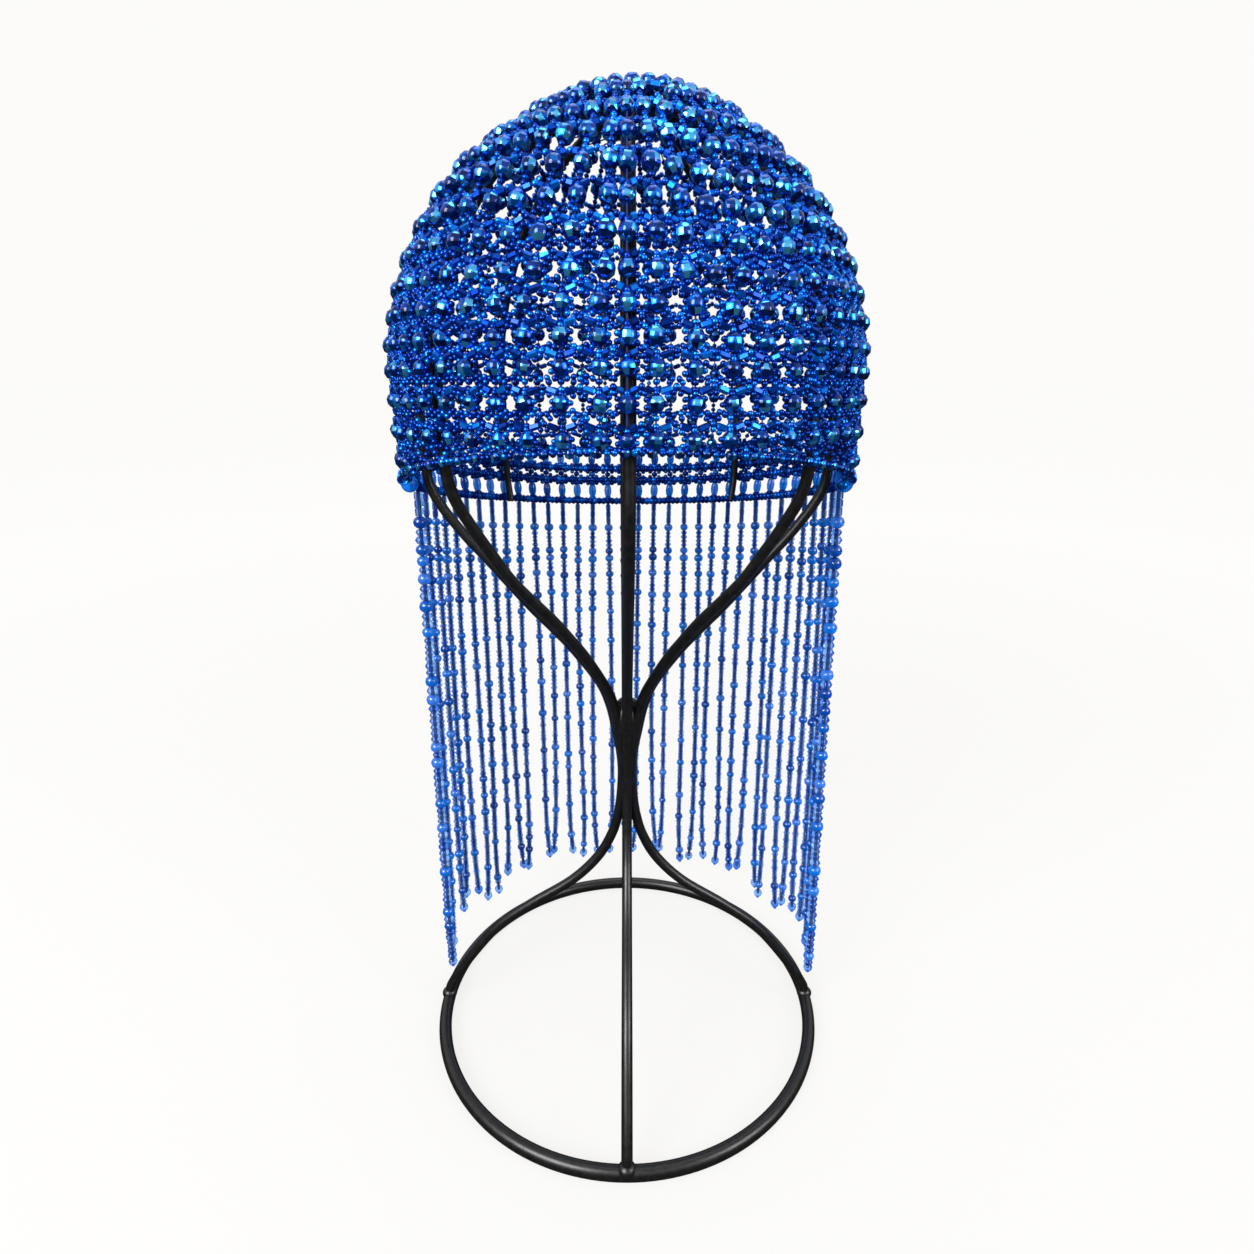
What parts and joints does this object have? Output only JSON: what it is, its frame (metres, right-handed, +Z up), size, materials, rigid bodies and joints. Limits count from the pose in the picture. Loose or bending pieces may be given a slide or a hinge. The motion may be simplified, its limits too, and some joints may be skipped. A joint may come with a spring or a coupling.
{
  "type": "beaded hat on a wire stand",
  "caption": "Rounded net cap of faceted glass beads with a long beaded fringe at the sides and back, on a waisted wire stand with a base ring.",
  "frame": {"origin": "centre of the base ring, on the surface that it rests on", "axes": "+Z up, the face opening looks towards -Y, +X to the right as seen from the front"},
  "size_m": [0.1962, 0.1962, 0.4197],
  "materials": {
    "faceted_glass": "polished royal blue glass with a cyan iridescent coat",
    "seed_glass": "glossy royal blue seed and bugle beads",
    "black_steel": "satin black paint"
  },
  "bodies": {
    "root": {"base_ring": "black_steel", "front_leg": "black_steel", "right_leg": "black_steel", "back_leg": "black_steel", "left_leg": "black_steel", "neck": "black_steel", "front_rib": "black_steel", "front_right_rib": "black_steel", "right_rib": "black_steel", "back_rib": "black_steel", "left_rib": "black_steel", "front_left_rib": "black_steel", "back_right_rib": "black_steel", "back_left_rib": "black_steel", "crown_weld": "black_steel", "cap_net": "faceted_glass", "rim_ladder": "seed_glass", "fringe": "seed_glass"}
  },
  "joints": []
}
